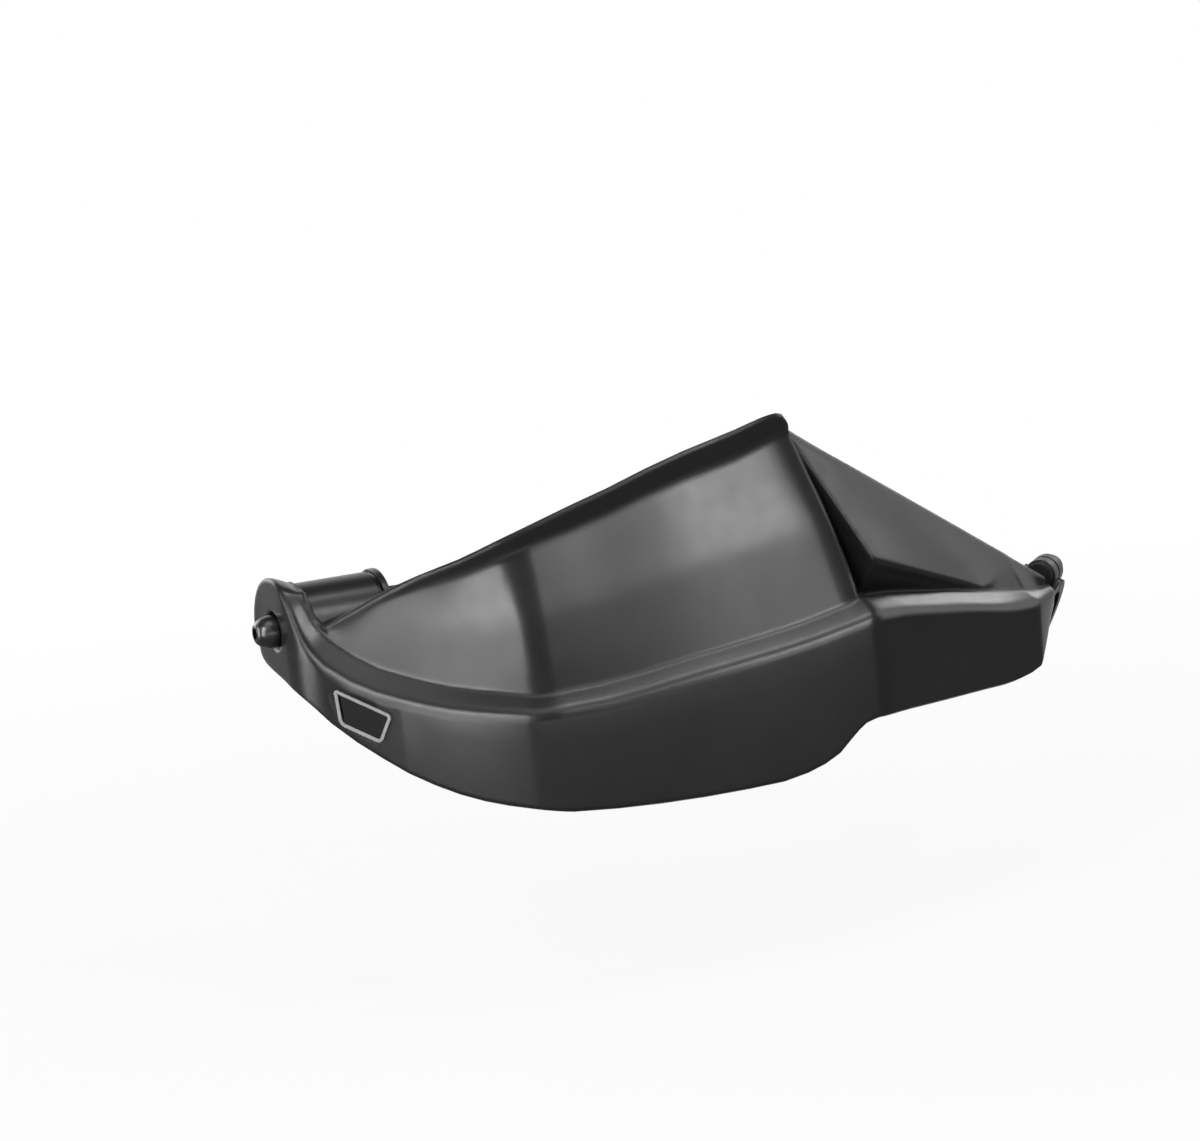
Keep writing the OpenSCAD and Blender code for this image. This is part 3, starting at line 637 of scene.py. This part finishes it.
def sleeveProfile(values):
    # up the ribbed side from the first eased edge, over the end, and down the cone to the bore's edge
    length, radius, ease = values["length"], values["radius"], values["ease"]
    coneFloor = length - values["coneLength"]
    groove = radius - values["grooveDepth"]
    half = values["grooveWidth"] / 2
    floorHalf = half * values["grooveFloor"]
    points = []
    for rib in range(values["ribs"]):
        middle = length * (rib + 1) / (values["ribs"] + 1)
        points += [(middle - half, radius), (middle - floorHalf, groove)]
        points += [(middle + floorHalf, groove), (middle + half, radius)]
    points += [(length - ease, radius), (length, radius - ease), (length, values["coneBig"])]
    points += [(coneFloor, values["coneSmall"]), (coneFloor, values["bore"])]
    return points


def openBore(piece, values):
    # the faces at both ends of the bore go, and their rims are bridged
    coneFloor = (values["length"] - values["coneLength"]) * mm
    boreLimit = (values["bore"] + values["coneSmall"]) / 2 * mm
    pickFaces(piece, lambda face: looksDown(face) and abs(face.center.z) < near)
    bpy.ops.mesh.inset(thickness=(values["radius"] - values["ease"] - values["bore"]) * mm)
    bpy.ops.mesh.delete(type="FACE")
    bpy.ops.object.mode_set(mode="OBJECT")
    pickFaces(piece, lambda face: looksUp(face) and abs(face.center.z - coneFloor) < near
              and face.center.xy.length < near)
    bpy.ops.mesh.delete(type="FACE")
    bpy.ops.object.mode_set(mode="OBJECT")
    pickEdges(piece, lambda a, b: isLevel(a, b) and max(a.xy.length, b.xy.length) < boreLimit)
    bpy.ops.mesh.bridge_edge_loops()
    bpy.ops.mesh.select_all(action="SELECT")
    bpy.ops.mesh.remove_doubles(threshold=2 * tiny)
    bpy.ops.mesh.normals_make_consistent(inside=False)
    bpy.ops.object.mode_set(mode="OBJECT")


def makeSleeve(values):
    radius, ease = values["radius"], values["ease"]
    piece = addCylinder(pieceNameFor("expander_sleeve"), (radius - ease) * mm, 0, ease * mm, values["sides"])
    pickFaces(piece, looksUp)
    widen(radius / (radius - ease))
    followProfile(sleeveProfile(values), ease, radius)
    bpy.ops.object.mode_set(mode="OBJECT")
    openBore(piece, values)
    smoothFaces(piece, values["smoothAngle"])
    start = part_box("expander_sleeve")[0][0]
    putInPlace(piece, (start, 0, 0), values["turn"])
    finishPiece(piece, "expander_sleeve", "black_rubber", blackRubber)


makeSleeve(sleeve)
print("sleeve made")

# the stage: a pale floor, and a studio whose one side is dark in reflections
stageValues = {
    "floorDrop": 0.125,
    "floorSize": 40.0,
    "floorColor": (0.8, 0.8, 0.8),
    "floorBounce": (0.18, 0.18, 0.18),  # the floor's colour for the light that it sends back to the part
    "nearWhite": 0.87,  # how much of the seen floor is plain white, near the part
    "shadowNear": 0.3,  # from this distance the shadow fades
    "shadowReach": 0.9,  # and here it is gone
    "fromMiddle": (-0.1, 0.0, 0.0),  # added to a place on the floor, so that it counts from the part's middle
    "darkSide": (-0.395, -0.919, 0.0),  # towards the dark side
    "whiteTo": -0.85,  # share along darkSide up to which reflections show white
    "darkFrom": -0.6,  # and the share from which they show the dark side
    "darkLevel": 0.12,
    "fill": 0.12,
}


def addMath(tree, operation, first, second):
    node = tree.nodes.new("ShaderNodeMath")
    node.operation = operation
    for socket, value in zip(node.inputs, (first, second)):
        if isinstance(value, float):
            socket.default_value = value
        else:
            tree.links.new(value, socket)
    return node.outputs["Value"]


def addVectorMath(tree, operation, source, *constants):
    node = tree.nodes.new("ShaderNodeVectorMath")
    node.operation = operation
    tree.links.new(source, node.inputs[0])
    for number, constant in enumerate(constants, 1):
        node.inputs[number].default_value = constant
    return node


def addDarkSide(tree, direction, level, values):
    # 1 behind the part, and the given level on the dark side
    share = addVectorMath(tree, "DOT_PRODUCT", direction, values["darkSide"]).outputs["Value"]
    return addRange(tree, share, 1.0, level, values["whiteTo"], values["darkFrom"])


def makePaleFloor(values):
    material = bpy.data.materials.new("paleFloor")
    material.use_nodes = True
    tree = material.node_tree
    tree.nodes.clear()
    path = tree.nodes.new("ShaderNodeLightPath").outputs
    place = tree.nodes.new("ShaderNodeTexCoord").outputs["Object"]
    matt = tree.nodes.new("ShaderNodeBsdfDiffuse")
    tree.links.new(addTones(tree, path["Is Camera Ray"], values["floorBounce"], values["floorColor"]),
                   matt.inputs["Color"])
    glow = tree.nodes.new("ShaderNodeEmission")
    glow.inputs["Color"].default_value = (1, 1, 1, 1)
    reach = addVectorMath(tree, "LENGTH", place).outputs["Value"]
    white = addRange(tree, reach, values["nearWhite"], 1.0, values["shadowNear"], values["shadowReach"])
    across = addVectorMath(tree, "MULTIPLY_ADD", place, (1, 1, 0), values["fromMiddle"]).outputs["Vector"]
    outwards = addVectorMath(tree, "NORMALIZE", across).outputs["Vector"]
    mirrored = addMath(tree, "MULTIPLY", path["Is Glossy Ray"], addDarkSide(tree, outwards, 0.0, values))
    seen = addMath(tree, "MAXIMUM", path["Is Camera Ray"], mirrored)
    seen = addMath(tree, "MAXIMUM", seen, path["Is Transmission Ray"])
    both = tree.nodes.new("ShaderNodeMixShader")
    tree.links.new(addMath(tree, "MULTIPLY", seen, white), both.inputs["Fac"])
    tree.links.new(matt.outputs["BSDF"], both.inputs[1])
    tree.links.new(glow.outputs["Emission"], both.inputs[2])
    output = tree.nodes.new("ShaderNodeOutputMaterial")
    tree.links.new(both.outputs["Shader"], output.inputs["Surface"])
    return material


def makeFloor(values):
    deselectAll()
    bpy.ops.mesh.primitive_plane_add(size=values["floorSize"], location=(0, 0, -values["floorDrop"]))
    floor = bpy.context.active_object
    floor.name = "floor"
    bpy.ops.object.transform_apply(location=True, rotation=True, scale=True)
    floor.data.materials.append(makePaleFloor(values))


def makeWorld(values):
    world = bpy.data.worlds.new("studioWorld")
    bpy.context.scene.world = world
    world.use_nodes = True
    tree = world.node_tree
    background = tree.nodes["Background"]
    background.inputs["Color"].default_value = (1, 1, 1, 1)
    path = tree.nodes.new("ShaderNodeLightPath").outputs
    place = tree.nodes.new("ShaderNodeTexCoord").outputs["Generated"]
    mirrored = addDarkSide(tree, place, values["darkLevel"], values)
    seen = addMath(tree, "MAXIMUM", path["Is Camera Ray"], path["Is Transmission Ray"])
    plain = addMath(tree, "MULTIPLY", addMath(tree, "SUBTRACT", 1.0, path["Is Glossy Ray"]), values["fill"])
    glossy = addMath(tree, "MULTIPLY", path["Is Glossy Ray"], mirrored)
    strength = addMath(tree, "MAXIMUM", seen, addMath(tree, "ADD", plain, glossy))
    tree.links.new(strength, background.inputs["Strength"])


makeFloor(stageValues)
makeWorld(stageValues)
print("floor and world made")

# the camera, at the photo's viewing angle
cameraValues = {
    "location": (-0.55936, -1.48261, 0.23283),
    "turn": (81.806, 6.027, -24.142),  # degrees about X, Y and Z
    "lens": 148.8,
    "sensor": 36.0,
    "clipStart": 0.01,
    "clipEnd": 50,
}


def makeCamera(values):
    deselectAll()
    bpy.ops.object.camera_add(location=values["location"])
    camera = bpy.context.active_object
    camera.name = "photoCamera"
    camera.rotation_euler = inRadians(values["turn"])
    camera.data.lens = values["lens"]
    camera.data.sensor_width = values["sensor"]
    camera.data.sensor_fit = "HORIZONTAL"
    camera.data.clip_start = values["clipStart"]
    camera.data.clip_end = values["clipEnd"]
    bpy.context.scene.camera = camera


makeCamera(cameraValues)

# the lamps: soft panels that face the part from all round
partMiddle = (0.1, -0.05, 0.0)
lowFront = (0.02, -0.05, -0.03)
lampDistance = 1.5
lightPlan = [
    # low and high are the azimuth and elevation of a lamp's two ends, seen from what it is aimed at
    {"name": "keyLow", "low": (-49, 2), "high": (-48, 21), "width": 0.34, "watts": 3.2},
    {"name": "keyHigh", "low": (-48, 22), "high": (-47, 40), "width": 0.22, "watts": 4.8},
    {"name": "stripLow", "low": (14, 8), "high": (16, 30), "width": 0.17, "watts": 2.1},
    {"name": "stripHigh", "low": (16, 32), "high": (17, 46), "width": 0.15, "watts": 3.7},
    {"name": "topLight", "low": (-8, 52), "high": (40, 84), "width": 1.1, "watts": 3.6},
    {"name": "ledgeLight", "low": (44, 70), "high": (56, 80), "width": 0.25, "watts": 1.7},
    {"name": "sideLight", "low": (84, 6), "high": (94, 50), "width": 0.95, "watts": 4.4},
    {"name": "rimLight", "low": (-100, -4), "high": (-100, 24), "width": 0.5, "watts": 6.5},
    {"name": "edgeLight", "low": (122, 10), "high": (122, 30), "width": 0.15, "watts": 1.1},
    {"name": "backLight", "low": (206, 0), "high": (206, 44), "width": 0.7, "watts": 9},
    {"name": "leftGlow", "low": (-57, -12), "high": (-50, 2), "width": 0.16, "watts": 0.42,
     "distance": 0.5, "target": lowFront},
    {"name": "frontGlow", "low": (2, -10), "high": (2, 2), "width": 0.6, "watts": 0.22,
     "distance": 0.5, "target": lowFront},
    {"name": "rimGlow", "low": (-102, -11), "high": (-102, -2), "width": 0.25, "watts": 0.4,
     "distance": 0.6},
]


def towards(azimuth, elevation):
    # azimuth 0 is straight ahead, along minus Y, and azimuth 90 is along X
    turn, rise = math.radians(azimuth), math.radians(elevation)
    return Vector((math.sin(turn) * math.cos(rise), -math.cos(turn) * math.cos(rise), math.sin(rise)))


def addLamp(values):
    distance = values.get("distance", lampDistance)
    target = Vector(values.get("target", partMiddle))
    low, high = towards(*values["low"]), towards(*values["high"])
    outward = (low + high).normalized()
    side = (high - low).normalized().cross(outward).normalized()
    deselectAll()
    bpy.ops.object.light_add(type="AREA", location=target + outward * distance)
    lamp = bpy.context.active_object
    lamp.name = values["name"]
    lamp.rotation_euler = Matrix((side, outward.cross(side), outward)).transposed().to_euler()
    lamp.data.shape = "RECTANGLE"
    lamp.data.size = values["width"]
    lamp.data.size_y = (high - low).length * distance
    lamp.data.energy = values["watts"]
    lamp.visible_camera = False


for values in lightPlan:
    addLamp(values)
bpy.context.scene.view_settings.view_transform = "Standard"
print("camera and lamps placed:", len(lightPlan), "lamps")
